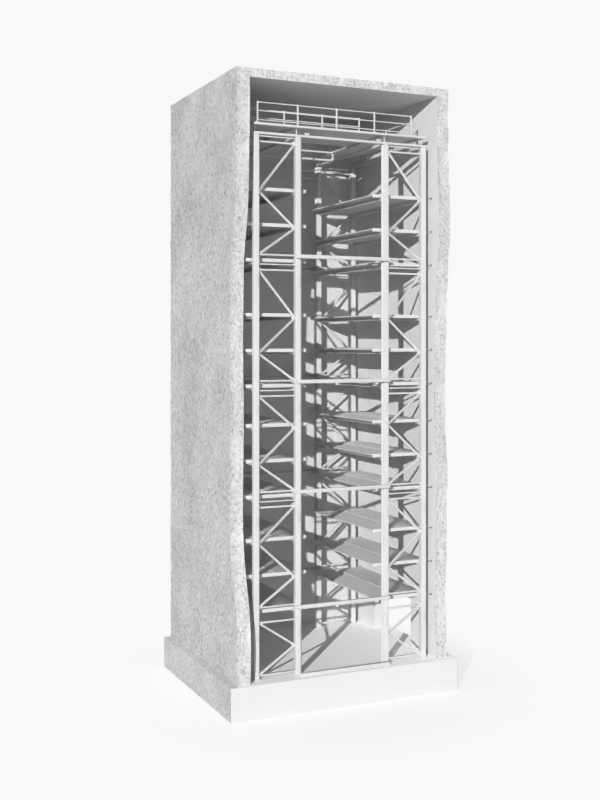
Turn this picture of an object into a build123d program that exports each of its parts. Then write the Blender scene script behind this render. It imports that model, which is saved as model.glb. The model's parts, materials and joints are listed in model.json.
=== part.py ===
# Multi storey parking tower shown as a cut-away: a rough concrete shell on a plinth,
# open at the front, round a braced steel rack with a lift shaft between two stacks of decks.
# Millimetres, +Z up, front towards -Y, origin at the middle of the plinth's underside.
import os

from build123d import *

os.makedirs("parts", exist_ok=True)

# Rack, across the building
half_shaft = 2530        # middle of the building to the inner posts' centres
side_bay = 2265          # inner post centre to outer post centre
post_size = 280
wall_gap = 415           # outer post to wall
# Rack, front to back
frame_setback = 440      # shell's front plane to the posts' front faces
frame_depth = 8360       # posts' front faces to the rear posts' rear faces
back_gap = 700           # rear posts to back wall
# Shell
wall_thickness = 700
roof_thickness = 450
roof_headroom = 2085     # top platform to roof
plinth_height = 1690
plinth_side = 390
plinth_front = 280
plinth_back = 50
door_start = 2750        # behind the shell's front plane
door_width = 4180
door_height = 2600
left_edge_retreat = 880  # deepest bite of the left wall's broken edge
right_edge_retreat = 300
# Decks, from the ground up
ground_headroom = 3210
deck_thickness = 175
deck_headroom = 1605
low_module_headroom = 1990
middle_module_headroom = 1800
high_module_headroom = 2565
top_module_headroom = 2585
deck_overhang = 605      # past the inner post centre, into the shaft
deck_wall_gap = 150      # deck to wall
deck_end_gap = 100       # deck to posts, front and back
deck_skin = 60           # the deck's thin long edges show it
deck_crest_width = 60    # the raised strip between the wheel tracks
deck_crest_height = 30
deck_end_plate = 70
rail_width = 140
rail_height = 120
# Bracing and girders
brace_width = 105
brace_depth = 90
brace_groove_width = 45   # the braces are channels, open to the outside
brace_groove_depth = 55
strut_height = 85
girt_height = 60
brace_node_drop = 150    # zigzag nodes below the decks' middle
base_strut_rise = 260    # first deck's middle to the strut above it
girt_drop = 220          # first deck's middle to the girt below it
top_strut_drop = 500     # first deck's middle to the module below's top strut
foot_strut_rise = 180
crown_strut_drop = 350   # post tops to the top module's strut
crown_girt_drop = 80
girder_height = 185
girder_depth = 180
girder_rise = 210        # girder above the module's first deck's middle
low_girder_rise = 130    # the lowest girder's
girder_flange = 35
girder_web = 40
crown_bar_drop = 280     # post tops to the upper bar across the rear posts
crown_bar_spacing = 440
sill_height = 145
sill_depth = 200
sill_setback = 60        # behind the shell's front plane
base_plate_size = 360
base_plate_thickness = 35
guide_width = 70
guide_depth = 90
guide_foot = 130
tie_size = 36
# Top platform
beam_height = 120
beam_spacing = 345       # lower beam to upper beam
spacer_width = 60        # blocks between the beams, over the posts
side_beam_width = 140    # beams along the post lines, and the pair across the shaft
cross_beam_start = 6200  # front posts' centres to the pair across the shaft
floor_thickness = 30
platform_depth = 4200    # floor along the front, from the front posts
rail_post = 70
railing_height = 1060
handrail = 45
railing_pitch = 2195
railing_inset = 235      # railing posts from the platform's ends, at the least
walkway_width = 1700
side_railing_length = 2650

# Counts and shares, chosen by hand
decks_per_module = 3
open_span_count = 1      # spans that the inner railing leaves open at its right end
side_railing_span_count = 1
rail_height_shares = (0.175, 0.6, 1.0)
side_rail_share = 0.72
# The broken edges, as shares of the wall's height and of the deepest bite
left_edge_shares = (
    (0.0, -0.10), (0.035, -0.16), (0.09, -0.12), (0.125, 0.08), (0.175, 0.55), (0.22, 0.88),
    (0.34, 0.98), (0.45, 0.90), (0.56, 1.0), (0.66, 0.92), (0.71, 0.80), (0.76, 0.42),
    (0.80, 0.20), (0.87, 0.08), (0.94, -0.03), (1.0, 0.0),
)
right_edge_shares = (
    (0.0, 0.35), (0.05, 0.70), (0.11, 0.95), (0.19, 0.55), (0.26, 0.60), (0.33, 0.30),
    (0.40, 0.85), (0.50, 1.0), (0.58, 0.75), (0.67, 0.30), (0.74, -0.35), (0.79, -0.60),
    (0.86, -0.20), (0.93, 0.05), (1.0, 0.0),
)

# Places that follow from the sizes above
outer_post_x = half_shaft + side_bay
rack_half = outer_post_x + post_size / 2
inner_wall_x = rack_half + wall_gap
shell_half = inner_wall_x + wall_thickness
shell_depth = frame_setback + frame_depth + back_gap + wall_thickness
plinth_width = 2 * (shell_half + plinth_side)
plinth_depth = plinth_front + shell_depth + plinth_back
front_y = -plinth_depth / 2 + plinth_front
back_y = front_y + shell_depth
inner_back_y = back_y - wall_thickness
front_post_y = front_y + frame_setback + post_size / 2
back_post_y = front_y + frame_setback + frame_depth - post_size / 2
deck_front_y = front_post_y + post_size / 2 + deck_end_gap
deck_back_y = back_post_y - post_size / 2 - deck_end_gap
deck_inner_x = half_shaft - deck_overhang
deck_outer_x = inner_wall_x - deck_wall_gap

deck_pitch = deck_headroom + deck_thickness
module_headrooms = (
    low_module_headroom, middle_module_headroom, high_module_headroom, top_module_headroom,
)
module_levels = []
level = plinth_height + ground_headroom + deck_thickness / 2
for headroom in module_headrooms:
    module_levels.append([level + storey * deck_pitch for storey in range(decks_per_module)])
    level = module_levels[-1][-1] + deck_thickness + headroom
deck_levels = [deck for module in module_levels for deck in module]
post_top = level - deck_thickness / 2
beam_top = post_top + 2 * beam_height + beam_spacing
shell_top = beam_top + roof_headroom
wall_height = shell_top - plinth_height
door_top = plinth_height + door_height

sides = {"left": -1, "right": 1}


def block(x_from, x_to, y_from, y_to, z_from, z_to):
    """Add a box between two corners to the part being built."""
    middle = ((x_from + x_to) / 2, (y_from + y_to) / 2, (z_from + z_to) / 2)
    with Locations(middle):
        Box(abs(x_to - x_from), abs(y_to - y_from), abs(z_to - z_from))


def save(piece, name):
    """Label a finished piece and write it."""
    piece.part.label = name
    export_step(piece.part, f"parts/{name}.step")


def front_plane(y):
    """A plane across the building at depth y, with its own y axis pointing up."""
    return Plane(origin=(0, y, 0), x_dir=(1, 0, 0), z_dir=(0, -1, 0))


def broken_wall(edge_shares, retreat, x_from):
    """A side wall whose front edge is broken along a curve, added to the part being built."""
    edge = [
        (front_y + depth_share * retreat, plinth_height + height_share * wall_height)
        for height_share, depth_share in edge_shares
    ]
    with BuildSketch(Plane.YZ.offset(x_from)) as outline:
        with BuildLine():
            Spline(*edge)
            Polyline(edge[-1], (inner_back_y, shell_top), (inner_back_y, plinth_height), edge[0])
        make_face()
    extrude(outline.sketch, amount=wall_thickness)


# Concrete shell
with BuildPart() as plinth:
    block(-plinth_width / 2, plinth_width / 2, -plinth_depth / 2, plinth_depth / 2, 0, plinth_height)
save(plinth, "base_plinth")

with BuildPart() as left_wall:
    broken_wall(left_edge_shares, left_edge_retreat, -shell_half)
save(left_wall, "left_wall")

with BuildPart() as back_wall:
    block(-shell_half, shell_half, inner_back_y, back_y, plinth_height, shell_top)
save(back_wall, "back_wall")

# The right wall is cast round the doorway: a pier before it, a pier behind it, and the wall above
door_front_y = front_y + door_start
door_back_y = door_front_y + door_width

with BuildPart() as right_upper:
    broken_wall(right_edge_shares, right_edge_retreat, inner_wall_x)
    split(bisect_by=Plane.XY.offset(door_top), keep=Keep.TOP)
save(right_upper, "right_wall_upper")

with BuildPart() as right_front:
    broken_wall(right_edge_shares, right_edge_retreat, inner_wall_x)
    split(bisect_by=Plane.XY.offset(door_top), keep=Keep.BOTTOM)
    split(bisect_by=front_plane(door_front_y), keep=Keep.TOP)
save(right_front, "right_wall_front")

with BuildPart() as right_rear:
    block(inner_wall_x, shell_half, door_back_y, inner_back_y, plinth_height, door_top)
save(right_rear, "right_wall_rear")

with BuildPart() as roof:
    block(-shell_half, shell_half, front_y, back_y, shell_top, shell_top + roof_thickness)
save(roof, "roof_slab")

# Posts, each on a base plate
post_rows = {"front": front_post_y, "back": back_post_y}
post_lines = {"outer": outer_post_x, "inner": half_shaft}
for row, post_y in post_rows.items():
    for side, sign in sides.items():
        for line, line_x in post_lines.items():
            with BuildPart() as post:
                with BuildSketch(Plane.XY.offset(plinth_height)):
                    with Locations((sign * line_x, post_y)):
                        Rectangle(base_plate_size, base_plate_size)
                extrude(amount=base_plate_thickness)
                with BuildSketch(Plane.XY.offset(plinth_height)):
                    with Locations((sign * line_x, post_y)):
                        Rectangle(post_size, post_size)
                extrude(amount=post_top - plinth_height)
            save(post, f"{row}_{side}_{line}_post")

# Zigzag bracing of the side bays, with the struts and girts that it runs between
bay_inner_x = half_shaft + post_size / 2
bay_outer_x = outer_post_x - post_size / 2
bay_middle_x = (bay_inner_x + bay_outer_x) / 2
bay_clear = bay_outer_x - bay_inner_x
brace_bases = [module[0] + base_strut_rise for module in module_levels]
brace_tops = [module[0] - top_strut_drop for module in module_levels[1:]] + [post_top - crown_strut_drop]
starts_inner = (True, False, False, True)   # the post where each module's zigzag starts at its top


def zigzag(sign, heights, from_inner):
    """Points of a zigzag between the two posts of a side bay, from the top down."""
    inner_turns = [from_inner == (turn % 2 == 0) for turn in range(len(heights))]
    return [
        (sign * (bay_inner_x if inner else bay_outer_x), height)
        for height, inner in zip(heights, inner_turns)
    ]


def brace_panel(sign, y, outward, heights, from_inner):
    """One module's zigzag of channels with its top and bottom struts, added to the part being built."""
    turns = zigzag(sign, heights, from_inner)
    with BuildSketch(front_plane(y)) as panel:
        with BuildLine():
            Polyline(*turns)
        trace(line_width=brace_width)
        with Locations((sign * bay_middle_x, heights[0]), (sign * bay_middle_x, heights[-1])):
            Rectangle(bay_clear, strut_height)
        with Locations((sign * bay_middle_x, (heights[0] + heights[-1]) / 2)):
            Rectangle(bay_clear, heights[0] - heights[-1] + strut_height, mode=Mode.INTERSECT)
    extrude(panel.sketch, amount=brace_depth / 2, both=True)
    groove_floor = brace_depth / 2 - brace_groove_depth
    with BuildSketch(front_plane(y + outward * groove_floor)) as groove:
        with BuildLine():
            Polyline(*turns)
        trace(line_width=brace_groove_width)
        with Locations((sign * bay_middle_x, (heights[0] + heights[-1]) / 2)):
            Rectangle(
                bay_clear - 2 * brace_width, heights[0] - heights[-1] - strut_height - 2 * brace_width,
                mode=Mode.INTERSECT,
            )
    extrude(groove.sketch, amount=-outward * brace_groove_depth, mode=Mode.SUBTRACT)


ground_top = module_levels[0][0] - top_strut_drop
ground_foot = plinth_height + foot_strut_rise
ground_heights = (ground_top, (ground_top + ground_foot) / 2, ground_foot)
girt_levels = [module[0] - girt_drop for module in module_levels[1:]] + [post_top - crown_girt_drop]
for row, post_y in post_rows.items():
    outward = -1 if row == "front" else 1
    for side, sign in sides.items():
        with BuildPart() as bracing:
            brace_panel(sign, post_y, outward, ground_heights, False)
            for module, base, top, from_inner in zip(module_levels, brace_bases, brace_tops, starts_inner):
                nodes = [deck - brace_node_drop for deck in reversed(module[1:])]
                brace_panel(sign, post_y, outward, [top, *nodes, base], from_inner)
            for girt in girt_levels:
                block(
                    sign * bay_inner_x, sign * bay_outer_x,
                    post_y - brace_depth / 2, post_y + brace_depth / 2,
                    girt - girt_height / 2, girt + girt_height / 2,
                )
        save(bracing, f"{row}_{side}_bracing")


def channel_girder(y_face, outward, z_middle):
    """A channel bolted across the inner posts, open towards the shaft, added to the part being built."""
    half_length = half_shaft + post_size / 2
    y_outer = y_face + outward * girder_depth
    z_low = z_middle - girder_height / 2
    z_high = z_middle + girder_height / 2
    block(-half_length, half_length, y_outer - outward * girder_web, y_outer, z_low, z_high)
    block(-half_length, half_length, y_face, y_outer, z_low, z_low + girder_flange)
    block(-half_length, half_length, y_face, y_outer, z_high - girder_flange, z_high)


# Girders across the lift shaft, one for each module, two bars at the top of the rear posts,
# and a sill on the plinth at the front
front_face_y = front_post_y - post_size / 2
back_face_y = back_post_y + post_size / 2
girder_levels = [module_levels[0][0] + low_girder_rise]
girder_levels += [module[0] + girder_rise for module in module_levels[1:]]
with BuildPart() as front_girders:
    for girder_level in girder_levels:
        channel_girder(front_face_y, -1, girder_level)
save(front_girders, "front_girders")

with BuildPart() as back_girders:
    for girder_level in girder_levels:
        channel_girder(back_face_y, 1, girder_level)
    for bar_level in (post_top - crown_bar_drop, post_top - crown_bar_drop - crown_bar_spacing):
        block(
            -half_shaft - post_size / 2, half_shaft + post_size / 2, back_face_y, back_face_y + brace_depth,
            bar_level - strut_height / 2, bar_level + strut_height / 2,
        )
save(back_girders, "back_girders")

with BuildPart() as sill:
    block(
        -half_shaft, half_shaft, front_y + sill_setback, front_y + sill_setback + sill_depth,
        plinth_height, plinth_height + sill_height,
    )
save(sill, "shaft_sill")


def deck(sign, z_middle):
    """A parking deck: a thin sheet on ribs over the rails, with end plates and a crest between the tracks."""
    x_near = sign * deck_inner_x
    x_far = sign * deck_outer_x
    x_crest = (x_near + x_far) / 2
    z_low = z_middle - deck_thickness / 2
    z_high = z_middle + deck_thickness / 2
    z_track = z_high - deck_crest_height
    block(x_near, x_far, deck_front_y, deck_back_y, z_track - deck_skin, z_track)
    for line_x in post_lines.values():
        x_rib = sign * line_x
        block(x_rib - rail_width / 2, x_rib + rail_width / 2, deck_front_y, deck_back_y, z_low, z_track)
    block(
        x_crest - deck_crest_width / 2, x_crest + deck_crest_width / 2, deck_front_y, deck_back_y,
        z_track, z_high,
    )
    block(x_near, x_far, deck_front_y, deck_front_y + deck_end_plate, z_low, z_high)
    block(x_near, x_far, deck_back_y, deck_back_y - deck_end_plate, z_low, z_track)


for side, sign in sides.items():
    for number, module in enumerate(module_levels, start=1):
        with BuildPart() as decks:
            for deck_level in module:
                deck(sign, deck_level)
        save(decks, f"{side}_decks_{number}")

    # Rails along the post lines carry the decks and tie the front posts to the rear ones
    with BuildPart() as rails:
        for deck_level in deck_levels:
            rail_top = deck_level - deck_thickness / 2
            for line_x in post_lines.values():
                block(
                    sign * line_x - rail_width / 2, sign * line_x + rail_width / 2,
                    front_post_y + post_size / 2, back_post_y - post_size / 2,
                    rail_top - rail_height, rail_top,
                )
    save(rails, f"{side}_deck_rails")

    # Ties hold the outer posts to the side wall, where the broken wall still stands beside them
    front_tie_levels = deck_levels if side == "right" else [deck_levels[0], deck_levels[-1]]
    tie_places = [(front_post_y, tie_level) for tie_level in front_tie_levels]
    tie_places += [(back_post_y, tie_level) for tie_level in deck_levels]
    with BuildPart() as ties:
        for tie_y, tie_level in tie_places:
            block(
                sign * rack_half, sign * inner_wall_x, tie_y - tie_size / 2, tie_y + tie_size / 2,
                tie_level - tie_size / 2, tie_level + tie_size / 2,
            )
    save(ties, f"{side}_wall_ties")

# Lift guides: T rails on the shaft faces of the inner posts
with BuildPart() as guides:
    guide_face_x = half_shaft - post_size / 2
    for sign in sides.values():
        for post_y in post_rows.values():
            with BuildSketch(Plane.XY.offset(plinth_height + base_plate_thickness)):
                with Locations((sign * (guide_face_x - guide_depth / 2), post_y)):
                    Rectangle(guide_depth, guide_width)
                with Locations((sign * (guide_face_x - guide_width / 4), post_y)):
                    Rectangle(guide_width / 2, guide_foot)
            extrude(amount=post_top - plinth_height - base_plate_thickness)
save(guides, "lift_guides")

# Top platform: a pair of beams on the front posts, pairs back along the post lines to the rear posts,
# and a pair across the shaft
upper_beam_low = beam_top - beam_height
floor_low = beam_top - floor_thickness
floor_front_y = front_post_y + post_size / 2
floor_back_y = back_post_y - post_size / 2
side_beam_back_y = back_post_y + post_size / 2
cross_beam_y = front_post_y + cross_beam_start
with BuildPart() as front_beams:
    beam_front_y = front_post_y - post_size / 2
    block(-rack_half, rack_half, beam_front_y, floor_front_y, post_top, post_top + beam_height)
    block(-rack_half, rack_half, beam_front_y, floor_front_y, upper_beam_low, beam_top)
    for sign in sides.values():
        for line_x in post_lines.values():
            spacer_x = sign * line_x
            block(
                spacer_x - spacer_width / 2, spacer_x + spacer_width / 2,
                floor_front_y - spacer_width, floor_front_y, post_top, beam_top,
            )
save(front_beams, "platform_front_beams")

with BuildPart() as cross_beams:
    cross_half = half_shaft - side_beam_width / 2
    cross_front_y = cross_beam_y - side_beam_width / 2
    cross_back_y = cross_beam_y + side_beam_width / 2
    block(-cross_half, cross_half, cross_front_y, cross_back_y, post_top, post_top + beam_height)
    block(-cross_half, cross_half, cross_front_y, cross_back_y, upper_beam_low, floor_low)
save(cross_beams, "platform_back_beams")

with BuildPart() as side_beams:
    for sign in sides.values():
        for line_x in post_lines.values():
            beam_left_x = sign * line_x - side_beam_width / 2
            beam_right_x = sign * line_x + side_beam_width / 2
            for beam_low, beam_high in ((post_top, post_top + beam_height), (upper_beam_low, floor_low)):
                block(beam_left_x, beam_right_x, floor_front_y, side_beam_back_y, beam_low, beam_high)
            for spacer_y in (cross_beam_y, back_post_y):
                block(
                    beam_left_x, beam_right_x, spacer_y - spacer_width / 2, spacer_y + spacer_width / 2,
                    post_top, floor_low,
                )
save(side_beams, "platform_joists")

# The floor is an L: along the front, and over the right decks to the rear posts; the rest is open
with BuildPart() as platform_floor:
    block(-rack_half, rack_half, floor_front_y, front_post_y + platform_depth, floor_low, beam_top)
    block(half_shaft - side_beam_width / 2, rack_half, floor_front_y, floor_back_y, floor_low, beam_top)
save(platform_floor, "platform_floor")

# The front railing has as many whole spans as the platform's width takes
railing_left_x = -rack_half + railing_inset
front_railing_span_count = int((rack_half - railing_inset - railing_left_x) // railing_pitch)
inner_railing_span_count = front_railing_span_count - open_span_count
railing_right_x = railing_left_x + front_railing_span_count * railing_pitch
inner_railing_y = front_post_y + walkway_width
inner_railing_end_x = railing_left_x + inner_railing_span_count * railing_pitch


def railing(start, end, span_count, height, height_shares):
    """Posts and rails from start to end, fused, added to the part being built."""
    steps = [
        (
            start[0] + (end[0] - start[0]) * step / span_count,
            start[1] + (end[1] - start[1]) * step / span_count,
        )
        for step in range(span_count + 1)
    ]
    for post_x, post_y in steps:
        block(
            post_x - rail_post / 2, post_x + rail_post / 2, post_y - rail_post / 2, post_y + rail_post / 2,
            beam_top, beam_top + height,
        )
    for height_share in height_shares:
        rail_top = beam_top + height * height_share - handrail / 2
        block(
            start[0] - handrail / 2, end[0] + handrail / 2, start[1] - handrail / 2, end[1] + handrail / 2,
            rail_top - handrail, rail_top,
        )


with BuildPart() as front_railing:
    railing(
        (railing_left_x, front_post_y), (railing_right_x, front_post_y), front_railing_span_count,
        railing_height, rail_height_shares,
    )
save(front_railing, "front_railing")

with BuildPart() as inner_railing:
    railing(
        (railing_left_x, inner_railing_y), (inner_railing_end_x, inner_railing_y), inner_railing_span_count,
        railing_height, rail_height_shares,
    )
save(inner_railing, "inner_railing")

# A single low rail at the walkway's right end runs towards the back, clear of the front railing's last post
with BuildPart() as side_railing:
    side_railing_y = front_post_y + rail_post
    railing(
        (railing_right_x, side_railing_y), (railing_right_x, side_railing_y + side_railing_length),
        side_railing_span_count, railing_height * side_rail_share, rail_height_shares[-1:],
    )
save(side_railing, "side_railing")
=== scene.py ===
import json
import math

import bpy
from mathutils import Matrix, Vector

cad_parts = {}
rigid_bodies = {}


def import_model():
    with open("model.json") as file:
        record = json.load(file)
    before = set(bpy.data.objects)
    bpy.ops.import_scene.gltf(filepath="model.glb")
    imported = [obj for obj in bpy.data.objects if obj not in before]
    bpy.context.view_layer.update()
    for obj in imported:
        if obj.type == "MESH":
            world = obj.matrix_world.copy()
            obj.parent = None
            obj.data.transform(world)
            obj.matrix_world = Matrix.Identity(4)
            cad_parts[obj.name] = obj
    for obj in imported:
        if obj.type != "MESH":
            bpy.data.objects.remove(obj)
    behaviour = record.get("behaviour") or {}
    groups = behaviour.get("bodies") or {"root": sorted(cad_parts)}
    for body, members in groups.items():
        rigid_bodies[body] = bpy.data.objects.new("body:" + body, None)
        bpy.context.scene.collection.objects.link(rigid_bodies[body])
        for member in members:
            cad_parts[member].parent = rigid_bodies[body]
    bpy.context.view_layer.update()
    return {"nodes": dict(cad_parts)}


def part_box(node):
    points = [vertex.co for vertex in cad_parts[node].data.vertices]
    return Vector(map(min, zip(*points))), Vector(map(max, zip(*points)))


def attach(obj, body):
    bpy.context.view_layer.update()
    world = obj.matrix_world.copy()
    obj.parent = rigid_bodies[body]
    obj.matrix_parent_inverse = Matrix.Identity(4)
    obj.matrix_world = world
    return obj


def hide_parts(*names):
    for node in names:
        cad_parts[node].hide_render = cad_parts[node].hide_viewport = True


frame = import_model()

print("frame loaded:", len(frame["nodes"]), "nodes")


# Small helpers
weldGap = 0.0005
flatAngle = math.radians(0.5)
smoothAngle = math.radians(30.0)
bevelAngle = math.radians(40.0)
facing = 0.5   # a normal's part along an axis, from which its face counts as facing that way
bothWays = (-1.0, 1.0)


def selectOnly(piece):
    bpy.ops.object.select_all(action="DESELECT")
    piece.select_set(True)
    bpy.context.view_layer.objects.active = piece


def applyModifier(piece, kind, **values):
    selectOnly(piece)
    modifier = piece.modifiers.new(kind.lower(), kind)
    for key, value in values.items():
        setattr(modifier, key, value)
    bpy.ops.object.modifier_apply(modifier=modifier.name)


def copyNode(node, name):
    selectOnly(frame["nodes"][node])
    bpy.ops.object.duplicate()
    piece = bpy.context.active_object
    bpy.ops.object.parent_clear(type="CLEAR_KEEP_TRANSFORM")
    piece.name = name
    piece.data.materials.clear()
    bpy.ops.object.mode_set(mode="EDIT")
    bpy.ops.mesh.select_all(action="SELECT")
    bpy.ops.mesh.remove_doubles(threshold=weldGap)   # the node's triangles come loose
    bpy.ops.mesh.dissolve_limited(angle_limit=flatAngle)
    bpy.ops.object.mode_set(mode="OBJECT")
    return piece


def joinPieces(pieces, name):
    bpy.ops.object.select_all(action="DESELECT")
    for piece in pieces:
        piece.select_set(True)
    bpy.context.view_layer.objects.active = pieces[0]
    bpy.ops.object.join()
    pieces[0].name = name
    return pieces[0]


def weighPoints(piece, name, weightOf):
    group = piece.vertex_groups.new(name=name)
    for point in piece.data.vertices:
        group.add([point.index], weightOf(point.co), "REPLACE")
    return group.name


def triangleCount(piece):
    return sum(len(face.vertices) - 2 for face in piece.data.polygons)


def finishPiece(piece, slot, *nodes):
    selectOnly(piece)
    bpy.ops.object.transform_apply(location=True, rotation=True, scale=True)
    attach(piece, "root")
    if nodes:
        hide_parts(*nodes)


# Materials
white = (1.0, 1.0, 1.0, 1.0)


def addNode(tree, kind, inputs=None, **values):
    node = tree.nodes.new(kind)
    for key, value in values.items():
        setattr(node, key, value)
    for socket, value in (inputs or {}).items():
        if isinstance(value, bpy.types.NodeSocket):
            tree.links.new(value, node.inputs[socket])
        else:
            node.inputs[socket].default_value = value
    return node


def newGroup(name, inputs, outputs):
    tree = bpy.data.node_groups.new(name, "ShaderNodeTree")
    for socket, kind, value in inputs:
        made = tree.interface.new_socket(name=socket, in_out="INPUT", socket_type=kind)
        if value is not None:
            made.default_value = value
    for socket, kind in outputs:
        tree.interface.new_socket(name=socket, in_out="OUTPUT", socket_type=kind)
    return tree, tree.nodes.new("NodeGroupInput"), tree.nodes.new("NodeGroupOutput")


def noiseValue(tree, vector, scale, detail, roughness=0.6, stretch=(1.0, 1.0, 1.0), lean=(0.0, 0.0, 0.0),
               wiggle=0.0):
    mapped = addNode(tree, "ShaderNodeMapping", {"Vector": vector, "Scale": stretch, "Rotation": lean})
    noise = addNode(tree, "ShaderNodeTexNoise", {
        "Vector": mapped.outputs["Vector"], "Scale": scale, "Detail": detail, "Roughness": roughness,
        "Distortion": wiggle})
    return noise.outputs["Fac"]


def mathNode(tree, operation, first, second, clamp=False):
    node = addNode(tree, "ShaderNodeMath", {0: first, 1: second}, operation=operation, use_clamp=clamp)
    return node.outputs["Value"]


def spread(tree, value, low, high, toLow=0.0, toHigh=1.0):
    node = addNode(tree, "ShaderNodeMapRange", {
        "Value": value, "From Min": low, "From Max": high, "To Min": toLow, "To Max": toHigh})
    return node.outputs["Result"]


# Cast concrete: broad clouds, upright wiggling strokes, fine grit and dark pits
castLook = {
    "clouds": {"scale": 0.3, "detail": 3.0}, "cloudRange": (0.35, 0.65), "cloudShare": 0.25,
    "streaks": {"scale": 5.0, "detail": 3.0, "roughness": 0.65, "stretch": (1.0, 1.0, 0.5),
                "lean": (0.3, 0.2, 0.0), "wiggle": 1.8}, "streakRange": (0.3, 0.7),
    "grit": {"scale": 6.5, "detail": 4.0, "roughness": 0.75}, "gritRange": (0.32, 0.68),
    "pits": {"scale": 7.0, "detail": 2.0, "roughness": 0.5}, "pitRange": (0.3, 0.44), "pitShade": 0.45,
    "gain": 0.85, "lift": 0.65,
}


def makeCastGroup():
    tree, given, out = newGroup(
        "castSurface",
        [("Vector", "NodeSocketVector", None), ("Streak", "NodeSocketFloat", 0.5),
         ("Grit", "NodeSocketFloat", 0.3)],
        [("Shade", "NodeSocketFloat"), ("Relief", "NodeSocketFloat")])
    vector = given.outputs["Vector"]
    clouds = spread(tree, noiseValue(tree, vector, **castLook["clouds"]), *castLook["cloudRange"])
    streaks = spread(tree, noiseValue(tree, vector, **castLook["streaks"]), *castLook["streakRange"])
    grit = spread(tree, noiseValue(tree, vector, **castLook["grit"]), *castLook["gritRange"])
    streakPart = mathNode(tree, "MULTIPLY", streaks, given.outputs["Streak"])
    gritPart = mathNode(tree, "MULTIPLY", grit, given.outputs["Grit"])
    relief = mathNode(tree, "ADD", streakPart, gritPart)
    mixed = mathNode(tree, "ADD", relief, mathNode(tree, "MULTIPLY", clouds, castLook["cloudShare"]))
    scaled = mathNode(tree, "MULTIPLY", mixed, castLook["gain"], True)
    lifted = mathNode(tree, "POWER", scaled, castLook["lift"])
    pitNoise = noiseValue(tree, vector, **castLook["pits"])
    pits = spread(tree, pitNoise, *castLook["pitRange"], castLook["pitShade"])
    tree.links.new(mathNode(tree, "MULTIPLY", lifted, pits), out.inputs["Shade"])
    tree.links.new(relief, out.inputs["Relief"])
    return tree


# Shop paint: faint clouding, dust and the ripple of a sprayed coat
paintLook = {
    "clouds": {"scale": 0.6, "detail": 4.0}, "cloudRange": (0.35, 0.65), "cloudShare": 0.5,
    "runs": {"scale": 3.5, "detail": 4.0, "roughness": 0.65, "stretch": (1.0, 1.0, 0.12)},
    "runRange": (0.45, 0.75), "ripple": {"scale": 40.0, "detail": 2.0},
}


def makePaintGroup():
    tree, given, out = newGroup(
        "paintCoat",
        [("Vector", "NodeSocketVector", None), ("Dust", "NodeSocketFloat", 0.4)],
        [("Shade", "NodeSocketFloat"), ("Relief", "NodeSocketFloat")])
    vector = given.outputs["Vector"]
    clouds = spread(tree, noiseValue(tree, vector, **paintLook["clouds"]), *paintLook["cloudRange"])
    runs = spread(tree, noiseValue(tree, vector, **paintLook["runs"]), *paintLook["runRange"])
    dust = mathNode(tree, "MULTIPLY", runs, given.outputs["Dust"])
    shade = mathNode(tree, "ADD", mathNode(tree, "MULTIPLY", clouds, paintLook["cloudShare"]), dust, True)
    tree.links.new(shade, out.inputs["Shade"])
    tree.links.new(noiseValue(tree, vector, **paintLook["ripple"]), out.inputs["Relief"])
    return tree


castGroup = makeCastGroup()
paintGroup = makePaintGroup()


# The shade runs from the first colour to the second and from the second roughness to the first.
# Bump is its strength and distance. A fade lightens the surface along x: from, to, and the lift at each end.
def newMaterial(name, group, groupValues, colours, roughness, bump, fade=None, **shaderValues):
    material = bpy.data.materials.new(name)
    material.use_nodes = True
    tree = material.node_tree
    shader = tree.nodes["Principled BSDF"]
    place = addNode(tree, "ShaderNodeTexCoord")
    surface = addNode(tree, "ShaderNodeGroup", node_tree=group)
    tree.links.new(place.outputs["Object"], surface.inputs["Vector"])
    for socket, value in groupValues.items():
        surface.inputs[socket].default_value = value
    shade = surface.outputs["Shade"]
    if fade:
        along = addNode(tree, "ShaderNodeSeparateXYZ", {"Vector": place.outputs["Object"]}).outputs["X"]
        shade = mathNode(tree, "ADD", shade, spread(tree, along, *fade), True)
    ramp = addNode(tree, "ShaderNodeValToRGB", {"Fac": shade})
    for stop, colour in zip(ramp.color_ramp.elements, colours):
        stop.color = (*colour, 1.0)
    tree.links.new(ramp.outputs["Color"], shader.inputs["Base Color"])
    tree.links.new(spread(tree, shade, 0.0, 1.0, *reversed(roughness)), shader.inputs["Roughness"])
    relief = addNode(tree, "ShaderNodeBump", {
        "Height": surface.outputs["Relief"], "Strength": bump[0], "Distance": bump[1]})
    tree.links.new(relief.outputs["Normal"], shader.inputs["Normal"])
    for socket, value in shaderValues.items():
        shader.inputs[socket.replace("_", " ")].default_value = value
    return material


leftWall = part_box("left_wall")
cutFade = (leftWall[0].x, (leftWall[0].x + leftWall[1].x) / 2, 0.02, 0.2)
roughCast = newMaterial(
    "roughCastConcrete", castGroup, {"Streak": 0.62, "Grit": 0.38},
    ((0.14, 0.14, 0.137), (0.815, 0.815, 0.81)), roughness=(0.82, 0.95), bump=(1.0, 0.06))
brokenCast = newMaterial(
    "brokenConcrete", castGroup, {"Streak": 0.56, "Grit": 0.44},
    ((0.15, 0.15, 0.147), (0.88, 0.88, 0.875)), roughness=(0.85, 0.97), bump=(1.0, 0.06), fade=cutFade)
ledgeCast = newMaterial(
    "ledgeConcrete", castGroup, {"Streak": 0.62, "Grit": 0.38},
    ((0.14, 0.14, 0.137), (0.815, 0.815, 0.81)), roughness=(0.82, 0.95), bump=(1.0, 0.03),
    Sheen_Weight=0.6, Sheen_Roughness=0.5)
innerCast = newMaterial(
    "innerWallConcrete", castGroup, {"Streak": 0.4, "Grit": 0.3},
    ((0.66, 0.66, 0.655), (0.8, 0.8, 0.795)), roughness=(0.75, 0.9), bump=(0.12, 0.02))
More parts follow.
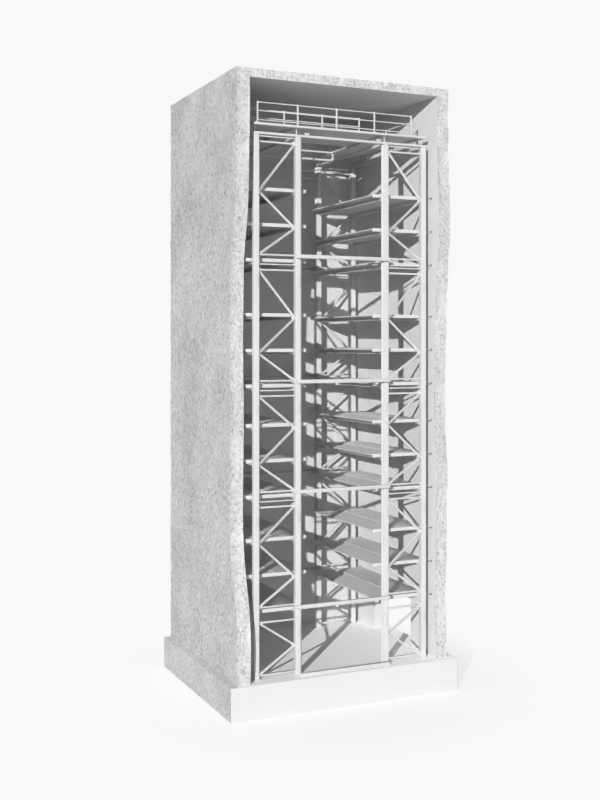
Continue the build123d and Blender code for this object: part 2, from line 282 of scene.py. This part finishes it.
# Ceiling concrete: the inner concrete made darker, as painted shade on the ceiling's underside
paintedShadeCeilingCast = newMaterial(
    "ceilingConcretePaintedShade", castGroup, {"Streak": 0.4, "Grit": 0.3},
    ((0.6, 0.6, 0.595), (0.7, 0.7, 0.695)), roughness=(0.75, 0.9), bump=(0.12, 0.02))
plinthCast = newMaterial(
    "plinthConcrete", castGroup, {"Streak": 0.2, "Grit": 0.4},
    ((0.755, 0.755, 0.755), (0.8, 0.8, 0.8)), roughness=(0.6, 0.75), bump=(0.06, 0.01))
floorCast = newMaterial(
    "floorScreed", castGroup, {"Streak": 0.25, "Grit": 0.4},
    ((0.81, 0.82, 0.83), (0.89, 0.9, 0.91)), roughness=(0.4, 0.6), bump=(0.06, 0.01),
    Sheen_Weight=0.8, Sheen_Roughness=0.5)
whitePaint = newMaterial(
    "whiteSteelPaint", paintGroup, {"Dust": 0.35},
    ((0.72, 0.72, 0.715), (0.63, 0.63, 0.625)), roughness=(0.55, 0.65), bump=(0.03, 0.002))
deckPaint = newMaterial(
    "deckSteelPaint", paintGroup, {"Dust": 0.5},
    ((0.74, 0.745, 0.75), (0.66, 0.665, 0.67)), roughness=(0.5, 0.65), bump=(0.05, 0.003),
    Sheen_Weight=0.15, Sheen_Roughness=0.5)
# Tie steel: dark grey, partly the ties' own grey and partly painted shade for the shadow they sit in
darkTieSteelPaintedShade = newMaterial(
    "darkTieSteelPaintedShade", paintGroup, {"Dust": 0.5},
    ((0.2, 0.2, 0.2), (0.3, 0.3, 0.3)), roughness=(0.4, 0.6), bump=(0.05, 0.003))
print("materials made")


# Concrete shell: the cast walls and roof as one mass, roughened outside and on the broken edges
shellNodes = ["left_wall", "back_wall", "right_wall_upper", "right_wall_front", "right_wall_rear",
              "roof_slab"]
shellLook = {
    "octreeDepth": 8, "octreeScale": 0.76, "noiseDepth": 3, "smoothAngle": 35.0,
    "lumpSize": 1.1, "lumpDepth": 0.07, "lumpLevel": 0.5,
    "grainSize": 0.34, "grainDepth": 0.05, "grainLevel": 0.5,
    "breakSize": 0.9, "breakDepth": 0.2, "breakLevel": 0.4,
    "skin": 0.06, "edgeReach": 0.5, "slice": 0.3,
    "roundReach": 0.28, "roundSteps": 3, "roundFactor": 0.5,
}


def cloudTexture(name):
    texture = bpy.data.textures.new(name, "CLOUDS")
    texture.noise_scale = shellLook[name + "Size"]
    texture.noise_depth = shellLook["noiseDepth"]
    return texture


def makeShell():
    shell = copyNode(shellNodes[0], "concreteShell")
    for node in shellNodes[1:]:
        part = copyNode(node, "shellPart")
        applyModifier(shell, "BOOLEAN", operation="UNION", solver="EXACT", object=part)
        bpy.data.objects.remove(part)
    applyModifier(shell, "REMESH", mode="SHARP", octree_depth=shellLook["octreeDepth"],
                  scale=shellLook["octreeScale"], sharpness=1.0, use_remove_disconnected=False)

    innerLeft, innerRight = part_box("left_wall")[1].x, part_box("right_wall_upper")[0].x
    outerLeft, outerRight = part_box("left_wall")[0].x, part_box("right_wall_upper")[1].x
    innerBack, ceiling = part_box("back_wall")[0].y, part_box("roof_slab")[0].z
    roofFront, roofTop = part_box("roof_slab")[0].y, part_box("roof_slab")[1].z
    ground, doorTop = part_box("left_wall")[0].z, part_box("right_wall_front")[1].z
    doorFront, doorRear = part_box("right_wall_front")[1].y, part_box("right_wall_rear")[0].y
    skin = shellLook["skin"]

    # The broken front edge of each wall, slice by slice up the wall
    brokenFront = {}
    for point in (vertex.co for vertex in shell.data.vertices):
        key = (point.x > 0.0, round(point.z / shellLook["slice"]))
        if point.x < innerLeft + skin or point.x > innerRight - skin:
            brokenFront[key] = min(point.y, brokenFront.get(key, point.y))

    def frontOf(point):
        if point.z > ceiling + skin:
            return roofFront
        return brokenFront.get((point.x > 0.0, round(point.z / shellLook["slice"])), roofFront)

    def inDoorway(point):
        along = doorFront - skin < point.y < doorRear + skin and point.z < doorTop + skin
        return along and innerRight - skin < point.x < outerRight - skin

    def inside(point):
        across = innerLeft - skin < point.x < innerRight + skin and point.y < innerBack + skin
        return across and point.z < ceiling + skin or inDoorway(point)

    def outside(point):
        return 0.0 if inside(point) or point.z < ground + skin else 1.0

    def onBreak(point):
        reach = (point.y - frontOf(point)) / shellLook["edgeReach"]
        return max(0.0, min(1.0, 1.0 - reach)) * outside(point)

    # The left wall's outer corner is worn round below the roof
    def onCorner(point):
        deep = max(point.x - outerLeft, point.y - frontOf(point))
        low = point.z < ceiling - shellLook["edgeReach"]
        return outside(point) if deep < shellLook["roundReach"] and low else 0.0

    rounded = weighPoints(shell, "rounded", onCorner)
    outer = weighPoints(shell, "outer", outside)
    broken = weighPoints(shell, "broken", onBreak)
    applyModifier(shell, "SMOOTH", factor=shellLook["roundFactor"], iterations=shellLook["roundSteps"],
                  vertex_group=rounded)
    for name, direction, group in (
            ("lump", "NORMAL", outer), ("grain", "NORMAL", outer), ("break", "Y", broken)):
        applyModifier(shell, "DISPLACE", texture=cloudTexture(name), strength=shellLook[name + "Depth"],
                      mid_level=shellLook[name + "Level"], vertex_group=group, texture_coords="GLOBAL",
                      direction=direction)
    for vertex in shell.data.vertices:
        vertex.co.z = min(vertex.co.z, roofTop)
    materials = [roughCast, innerCast, brokenCast, paintedShadeCeilingCast]
    for material in materials:
        shell.data.materials.append(material)
    # Inside, the downward faces take the darker ceiling concrete, which is painted shade
    for face in shell.data.polygons:
        if inside(face.center):
            face.material_index = materials.index(paintedShadeCeilingCast if face.normal.z < -facing else innerCast)
        elif face.normal.y < -facing and face.center.y - frontOf(face.center) < shellLook["edgeReach"]:
            face.material_index = materials.index(brokenCast)
    selectOnly(shell)
    bpy.ops.object.shade_smooth_by_angle(angle=math.radians(shellLook["smoothAngle"]))
    finishPiece(shell, "shell_concrete", *shellNodes)
    print("shell made:", triangleCount(shell), "triangles")


makeShell()


# Plinth: smooth at the front, rough at the sides and back, with a rough left ledge and a screed on top
plinthLook = {"edge": 0.03, "edgeSteps": 2}


def makePlinth():
    low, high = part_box("base_plinth")
    bpy.ops.object.select_all(action="DESELECT")
    bpy.ops.mesh.primitive_cube_add(size=1.0, location=(low + high) / 2)
    plinth = bpy.context.active_object
    plinth.name = "castPlinth"
    plinth.scale = high - low
    bpy.ops.object.transform_apply(location=True, rotation=True, scale=True)
    bpy.ops.object.mode_set(mode="EDIT")
    bpy.ops.mesh.select_all(action="SELECT")
    bpy.ops.mesh.bisect(plane_co=leftWall[0], plane_no=(1.0, 0.0, 0.0))
    bpy.ops.object.mode_set(mode="OBJECT")
    bpy.ops.object.shade_smooth()
    applyModifier(plinth, "BEVEL", width=plinthLook["edge"], segments=plinthLook["edgeSteps"],
                  harden_normals=True)
    materials = [roughCast, plinthCast, floorCast, ledgeCast]
    for material in materials:
        plinth.data.materials.append(material)
    for face in plinth.data.polygons:
        if face.normal.z > facing:
            face.material_index = materials.index(ledgeCast if face.center.x < leftWall[0].x else floorCast)
        elif face.normal.y < -facing:
            face.material_index = materials.index(plinthCast)
    finishPiece(plinth, "base_concrete", "base_plinth")
    print("plinth made")


makePlinth()


# Rack details: plates and bolts, each modelled once and set at every place it is needed
rackLook = {
    "modules": 4, "decks": 3, "deckThickness": 0.175, "nodeDrop": 0.15, "baseRise": 0.26, "topDrop": 0.5,
    "crownDrop": 0.35, "footRise": 0.18, "girderRises": (0.13, 0.21, 0.21, 0.21),
    "startsInner": (True, False, False, True),
}
rows = {"front": -1.0, "back": 1.0}
sides = {"left": -1.0, "right": 1.0}
lines = ("outer", "inner")
plateSteps = 2
boltLook = {
    "head": {"width": 1.0, "foot": 0.25, "height": 0.65, "corners": 6},
    "washer": {"width": 1.35, "foot": 0.0, "height": 0.25, "corners": 12},
}
boltEdge = 0.08


def makePlate(size, edge):
    bpy.ops.object.select_all(action="DESELECT")
    bpy.ops.mesh.primitive_cube_add(size=1.0)
    plate = bpy.context.active_object
    plate.scale = size
    bpy.ops.object.transform_apply(location=False, rotation=False, scale=True)
    applyModifier(plate, "BEVEL", width=edge, segments=plateSteps)
    return plate


# A hexagon head on a washer, its foot at the origin, standing along the given axis
def makeBolt(radius, axis):
    parts = []
    for look in boltLook.values():
        bpy.ops.object.select_all(action="DESELECT")
        bpy.ops.mesh.primitive_cylinder_add(
            vertices=look["corners"], radius=radius * look["width"], depth=radius * look["height"],
            location=(0.0, 0.0, radius * (look["foot"] + look["height"] / 2)))
        parts.append(bpy.context.active_object)
    bolt = joinPieces(parts, "bolt")
    applyModifier(bolt, "BEVEL", width=radius * boltEdge, segments=1)
    selectOnly(bolt)
    bolt.rotation_euler = Vector(axis).to_track_quat("Z", "Y").to_euler()
    bpy.ops.object.transform_apply(location=True, rotation=True, scale=True)
    return bolt


def setOut(template, places, name):
    copies = []
    for place in places:
        copied = template.copy()
        copied.data = template.data.copy()
        copied.location = place
        bpy.context.collection.objects.link(copied)
        copies.append(copied)
    bpy.data.objects.remove(template)
    return joinPieces(copies, name)


def finishSteel(pieces, name, material):
    piece = joinPieces(pieces, name)
    piece.data.materials.clear()
    piece.data.materials.append(material)
    selectOnly(piece)
    bpy.ops.object.shade_smooth_by_angle(angle=smoothAngle)
    finishPiece(piece, "white_steel")
    print(name, "made:", triangleCount(piece), "triangles")


# Rack members: the frame's own bars and plates with their edges rounded, as rolled and folded steel has them.
# Each has words from its nodes' names, the width of the rounding and its steps.
memberLook = {
    "rackPosts": (["_post"], 0.015, 3), "rackBracing": (["_bracing"], 0.006, 1),
    "rackGirders": (["_girders"], 0.008, 2), "shaftSill": (["shaft_sill"], 0.012, 2),
    "deckRails": (["_deck_rails"], 0.012, 2), "liftGuides": (["lift_guides"], 0.006, 2),
    "platformFrame": (["_beams", "_joists"], 0.012, 2), "platformRailings": (["_railing"], 0.011, 2),
}
tieBarLook = {"wallTies": (["_ties"], 0.008, 2)}
plateLook = {"deckPlates": (["_decks_"], 0.008, 2), "platformPlate": (["platform_floor"], 0.006, 2)}


def makeMembers(look, slot, material):
    for name, (words, edge, steps) in look.items():
        nodes = [node for node in frame["nodes"] if any(word in node for word in words)]
        members = joinPieces([copyNode(node, name + "Part") for node in nodes], name)
        bpy.ops.object.shade_smooth()
        applyModifier(members, "BEVEL", width=edge, segments=steps, limit_method="ANGLE",
                      angle_limit=bevelAngle, harden_normals=True)
        members.data.materials.append(material)
        finishPiece(members, slot, *nodes)
        print(name, "made:", triangleCount(members), "triangles")


makeMembers(memberLook, "white_steel", whitePaint)
makeMembers(tieBarLook, "white_steel", darkTieSteelPaintedShade)
makeMembers(plateLook, "deck_steel", deckPaint)


# Storey heights, post centres and brace nodes, read from the frame
moduleLevels = []
for number in range(1, rackLook["modules"] + 1):
    low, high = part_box(f"left_decks_{number}")
    first = low.z + rackLook["deckThickness"] / 2
    pitch = (high.z - low.z - rackLook["deckThickness"]) / (rackLook["decks"] - 1)
    moduleLevels.append([first + pitch * deck for deck in range(rackLook["decks"])])
postCentre = {}
for row in rows:
    for side in sides:
        for line in lines:
            low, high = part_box(f"{row}_{side}_{line}_post")
            postCentre[row, side, line] = (low + high) / 2
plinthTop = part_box("base_plinth")[1].z
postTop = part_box("front_left_inner_post")[1].z
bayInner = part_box("front_right_bracing")[0].x
postHalf = bayInner - postCentre["front", "right", "inner"].x


def zigzagNodes():
    tops = [levels[0] - rackLook["topDrop"] for levels in moduleLevels[1:]]
    tops.append(postTop - rackLook["crownDrop"])
    groundTop = moduleLevels[0][0] - rackLook["topDrop"]
    groundFoot = plinthTop + rackLook["footRise"]
    panels = [([groundTop, (groundTop + groundFoot) / 2, groundFoot], False)]
    for levels, top, fromInner in zip(moduleLevels, tops, rackLook["startsInner"]):
        middle = [level - rackLook["nodeDrop"] for level in reversed(levels[1:])]
        panels.append(([top, *middle, levels[0] + rackLook["baseRise"]], fromInner))
    nodes = []
    for heights, fromInner in panels:
        for turn, height in enumerate(heights):
            nodes.append((height, "inner" if fromInner == (turn % 2 == 0) else "outer"))
    return nodes


# Gusset plates behind the brace ends, bolted to the posts
gussetLook = {"width": 0.15, "height": 0.24, "thickness": 0.014, "edge": 0.004, "bolt": 0.019, "boltX": 0.03,
              "boltZ": 0.085}


def makeGussets():
    plates, bolts = [], {row: [] for row in rows}
    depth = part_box("front_left_bracing")
    halfDepth = (depth[1].y - depth[0].y) / 2
    for row, outward in rows.items():
        for side, sign in sides.items():
            for height, line in zigzagNodes():
                centre = postCentre[row, side, line]
                inward = sign if line == "inner" else -sign
                x = centre.x + inward * (postHalf + gussetLook["width"] / 2)
                y = centre.y - outward * (halfDepth + gussetLook["thickness"] / 2)
                plates.append((x, y, height))
                boltFoot = y + outward * gussetLook["thickness"] / 2
                for up in bothWays:
                    bolts[row].append((x + inward * gussetLook["boltX"], boltFoot,
                                       height + up * gussetLook["boltZ"]))
    size = (gussetLook["width"], gussetLook["thickness"], gussetLook["height"])
    pieces = [setOut(makePlate(size, gussetLook["edge"]), plates, "gussetPlates")]
    for row, outward in rows.items():
        pieces.append(setOut(makeBolt(gussetLook["bolt"], (0.0, outward, 0.0)), bolts[row], "gussetBolts"))
    finishSteel(pieces, "braceGussets", whitePaint)


# Splice plates on the posts' outward faces, under each module's girder
spliceLook = {"height": 0.5, "inset": 0.03, "thickness": 0.012, "edge": 0.004, "bolt": 0.02, "drop": 0.62,
              "boltX": 0.075, "boltZ": (-0.18, -0.08, 0.08, 0.18)}


def makeSplices():
    plates, bolts = [], {row: [] for row in rows}
    for (row, side, line), centre in postCentre.items():
        outward = rows[row]
        for levels in moduleLevels:
            height = levels[0] - rackLook["topDrop"] - spliceLook["drop"]
            face = centre.y + outward * postHalf
            plates.append((centre.x, face + outward * spliceLook["thickness"] / 2, height))
            for across in bothWays:
                for up in spliceLook["boltZ"]:
                    bolts[row].append((centre.x + across * spliceLook["boltX"],
                                       face + outward * spliceLook["thickness"], height + up))
    size = (2 * (postHalf - spliceLook["inset"]), spliceLook["thickness"], spliceLook["height"])
    pieces = [setOut(makePlate(size, spliceLook["edge"]), plates, "splicePlates")]
    for row, outward in rows.items():
        pieces.append(setOut(makeBolt(spliceLook["bolt"], (0.0, outward, 0.0)), bolts[row], "spliceBolts"))
    finishSteel(pieces, "postSplices", whitePaint)


# Anchor bolts on the posts' base plates
anchorLook = {"bolt": 0.022, "inset": 0.045, "plate": 0.035}


def makeAnchors():
    places = []
    for row in rows:
        for side in sides:
            for line in lines:
                low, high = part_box(f"{row}_{side}_{line}_post")
                centre, half = (low + high) / 2, (high.x - low.x) / 2 - anchorLook["inset"] / 2
                for acrossX in bothWays:
                    for acrossY in bothWays:
                        places.append((centre.x + acrossX * half, centre.y + acrossY * half,
                                       plinthTop + anchorLook["plate"]))
    bolt = makeBolt(anchorLook["bolt"], (0.0, 0.0, 1.0))
    finishSteel([setOut(bolt, places, "anchors")], "postAnchors", whitePaint)


# Girder bolts at the posts, and the small cleats that hang under each girder
cleatLook = {"size": (0.16, 0.1, 0.1), "edge": 0.006, "shares": (0.43, 0.86), "bolt": 0.024, "boltGap": 0.06,
             "girderHalf": 0.0925}


def makeGirderFittings():
    low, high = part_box("front_girders")
    cleats, bolts = [], []
    for levels, rise in zip(moduleLevels, rackLook["girderRises"]):
        height = levels[0] + rise
        bottom = height - cleatLook["girderHalf"]
        for share in cleatLook["shares"]:
            cleats.append((low.x + share * (high.x - low.x), high.y - cleatLook["size"][1] / 2,
                           bottom - cleatLook["size"][2] / 2))
        for side in sides:
            centre = postCentre["front", side, "inner"]
            for acrossX in bothWays:
                for up in bothWays:
                    bolts.append((centre.x + acrossX * cleatLook["boltGap"], low.y,
                                  height + up * cleatLook["boltGap"]))
    cleat = makePlate(cleatLook["size"], cleatLook["edge"])
    pieces = [setOut(cleat, cleats, "cleats"),
              setOut(makeBolt(cleatLook["bolt"], (0.0, -1.0, 0.0)), bolts, "girderBolts")]
    finishSteel(pieces, "girderFittings", whitePaint)


# Flanges under the railing posts
footLook = {"size": 0.15, "thickness": 0.014, "edge": 0.004, "bolt": 0.014, "boltGap": 0.052,
            "spans": {"front_railing": 4, "inner_railing": 3, "side_railing": 1}}


def makeRailingFeet():
    plates, bolts = [], []
    for node, spans in footLook["spans"].items():
        low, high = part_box(node)
        half = min(high.x - low.x, high.y - low.y) / 2
        start, end = low + Vector((half, half, 0.0)), high - Vector((half, half, high.z - low.z))
        for step in range(spans + 1):
            place = start.lerp(end, step / spans)
            plates.append((place.x, place.y, place.z + footLook["thickness"] / 2))
            for acrossX in bothWays:
                for acrossY in bothWays:
                    bolts.append((place.x + acrossX * footLook["boltGap"],
                                  place.y + acrossY * footLook["boltGap"], place.z + footLook["thickness"]))
    plate = makePlate((footLook["size"], footLook["size"], footLook["thickness"]), footLook["edge"])
    pieces = [setOut(plate, plates, "feet"),
              setOut(makeBolt(footLook["bolt"], (0.0, 0.0, 1.0)), bolts, "footBolts")]
    finishSteel(pieces, "railingFeet", whitePaint)


# Wall plates at the outer ends of the ties
tieLook = {"size": 0.11, "thickness": 0.014, "edge": 0.004, "bolt": 0.01, "boltGap": 0.038}


def makeTiePlates():
    plates, bolts = [], {side: [] for side in sides}
    levels = [level for module in moduleLevels for level in module]
    for side, sign in sides.items():
        low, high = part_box(f"{side}_wall_ties")
        wall = high.x if sign > 0 else low.x
        for row in rows:
            carried = levels if side == "right" or row == "back" else [levels[0], levels[-1]]
            for level in carried:
                y = postCentre[row, side, "outer"].y
                plates.append((wall - sign * tieLook["thickness"] / 2, y, level))
                for acrossY in bothWays:
                    for up in bothWays:
                        bolts[side].append((
                            wall - sign * tieLook["thickness"], y + acrossY * tieLook["boltGap"],
                            level + up * tieLook["boltGap"]))
    plate = makePlate((tieLook["thickness"], tieLook["size"], tieLook["size"]), tieLook["edge"])
    pieces = [setOut(plate, plates, "tiePlates")]
    for side, sign in sides.items():
        pieces.append(setOut(makeBolt(tieLook["bolt"], (-sign, 0.0, 0.0)), bolts[side], "tieBolts"))
    finishSteel(pieces, "tiePlates", darkTieSteelPaintedShade)


# Three-cornered lugs, point down, on the platform's lower front beam beside the inner posts
lugLook = {"width": 0.32, "height": 0.24, "thickness": 0.03, "edge": 0.005, "rise": 0.1, "gap": 0.47,
           "beam": 0.12, "bolt": 0.016, "boltZ": 0.02}


def makeLugs():
    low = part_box("platform_front_beams")[0]
    middle, top = low.y - lugLook["thickness"] / 2, low.z + lugLook["beam"] + lugLook["rise"]
    places = [postCentre["front", side, "inner"].x - sign * lugLook["gap"] for side, sign in sides.items()]
    bpy.ops.object.select_all(action="DESELECT")
    bpy.ops.mesh.primitive_cylinder_add(vertices=3, radius=1.0, depth=lugLook["thickness"],
                                        rotation=(math.radians(-90.0), 0.0, 0.0))
    lug = bpy.context.active_object
    lug.scale = (lugLook["width"] / lug.dimensions.x, lugLook["height"] / lug.dimensions.y, 1.0)
    bpy.ops.object.transform_apply(location=True, rotation=True, scale=True)
    applyModifier(lug, "BEVEL", width=lugLook["edge"], segments=plateSteps)
    pieces = [setOut(lug, [(x, middle, top - lugLook["height"] / 3) for x in places], "lugs")]
    bolts = [(x, middle - lugLook["thickness"] / 2, top - lugLook["rise"] - lugLook["boltZ"]) for x in places]
    pieces.append(setOut(makeBolt(lugLook["bolt"], (0.0, -1.0, 0.0)), bolts, "lugBolts"))
    finishSteel(pieces, "platformLugs", whitePaint)


makeGussets()
makeSplices()
makeAnchors()
makeGirderFittings()
makeRailingFeet()
makeTiePlates()
makeLugs()


# Floor, light and camera
stageLook = {"size": 140.0, "near": 8.0, "far": 14.0, "tone": 0.9, "seenTone": 0.36, "glow": 0.718,
             "paper": 0.945}
lightLook = {"sunPlace": (-30.0, -40.0, 30.0), "sunStrength": 3.25, "sunAngle": 0.6, "sunLeft": 40.8,
             "sunHeight": 12.5, "sky": 0.21, "backSky": 0.6, "skyTurn": (0.0, 0.5)}
cameraLook = {"place": (-26.11, -56.03, 18.50), "upright": 90.0, "turn": -24.67, "lens": 50.6,
              "shiftX": 0.0005, "shiftY": -0.0737, "clipEnd": 400.0}


def rayToCamera(tree):
    path = addNode(tree, "ShaderNodeLightPath")
    seen = mathNode(tree, "ADD", path.outputs["Is Camera Ray"], path.outputs["Is Glossy Ray"])
    return mathNode(tree, "ADD", seen, path.outputs["Is Transmission Ray"], True)


def makeFloor():
    bpy.ops.object.select_all(action="DESELECT")
    bpy.ops.mesh.primitive_plane_add(size=stageLook["size"])
    floor = bpy.context.active_object
    floor.name = "studioFloor"
    material = bpy.data.materials.new("studioFloorPaper")
    material.use_nodes = True
    tree = material.node_tree
    tree.nodes.clear()
    place = addNode(tree, "ShaderNodeTexCoord")
    reach = addNode(tree, "ShaderNodeVectorMath", {0: place.outputs["Object"]}, operation="LENGTH")
    away = addNode(tree, "ShaderNodeMapRange", {
        "Value": reach.outputs["Value"], "From Min": stageLook["near"], "From Max": stageLook["far"]},
        interpolation_type="SMOOTHSTEP")
    seen = rayToCamera(tree)
    tone = spread(tree, seen, 0.0, 1.0, stageLook["tone"], stageLook["seenTone"])
    paper = addNode(tree, "ShaderNodeBsdfDiffuse", {"Color": tone})
    glowStrength = mathNode(tree, "MULTIPLY", seen, stageLook["glow"])
    glow = addNode(tree, "ShaderNodeEmission", {"Color": white, "Strength": glowStrength})
    lit = addNode(tree, "ShaderNodeAddShader", {0: paper.outputs[0], 1: glow.outputs[0]})
    plain = addNode(tree, "ShaderNodeEmission", {"Color": white, "Strength": stageLook["paper"]})
    fade = mathNode(tree, "MULTIPLY", away.outputs["Result"], seen)
    mixed = addNode(tree, "ShaderNodeMixShader", {0: fade, 1: lit.outputs[0], 2: plain.outputs[0]})
    addNode(tree, "ShaderNodeOutputMaterial", {"Surface": mixed.outputs[0]})
    floor.data.materials.append(material)


def makeWorld():
    world = bpy.data.worlds.new("studioAir")
    bpy.context.scene.world = world
    world.use_nodes = True
    tree = world.node_tree
    tree.nodes.clear()
    seen = rayToCamera(tree)
    place = addNode(tree, "ShaderNodeTexCoord")
    along = addNode(tree, "ShaderNodeSeparateXYZ", {"Vector": place.outputs["Generated"]}).outputs["Y"]
    level = spread(tree, along, *lightLook["skyTurn"], lightLook["sky"], lightLook["backSky"])
    sky = addNode(tree, "ShaderNodeBackground", {"Color": white, "Strength": level})
    paper = addNode(tree, "ShaderNodeBackground", {"Color": white, "Strength": stageLook["paper"]})
    mixed = addNode(tree, "ShaderNodeMixShader", {0: seen, 1: sky.outputs[0], 2: paper.outputs[0]})
    addNode(tree, "ShaderNodeOutputWorld", {"Surface": mixed.outputs[0]})


def makeLamp():
    bpy.ops.object.select_all(action="DESELECT")
    bpy.ops.object.light_add(type="SUN", location=lightLook["sunPlace"])
    key = bpy.context.active_object
    key.name = "keyLamp"
    key.data.energy = lightLook["sunStrength"]
    key.data.angle = math.radians(lightLook["sunAngle"])
    left, height = math.radians(lightLook["sunLeft"]), math.radians(lightLook["sunHeight"])
    travel = Vector((math.sin(left) * math.cos(height), math.cos(left) * math.cos(height), -math.sin(height)))
    key.rotation_euler = travel.to_track_quat("-Z", "Y").to_euler()


def makeCamera():
    bpy.ops.object.select_all(action="DESELECT")
    bpy.ops.object.camera_add(location=cameraLook["place"],
                              rotation=(math.radians(cameraLook["upright"]), 0.0,
                                        math.radians(cameraLook["turn"])))
    camera = bpy.context.active_object
    camera.name = "photoCamera"
    camera.data.lens = cameraLook["lens"]
    camera.data.shift_x = cameraLook["shiftX"]
    camera.data.shift_y = cameraLook["shiftY"]
    camera.data.clip_end = cameraLook["clipEnd"]
    bpy.context.scene.camera = camera


makeFloor()
makeWorld()
makeLamp()
makeCamera()
bpy.context.scene.view_settings.view_transform = "Standard"
print("floor, light and camera set")
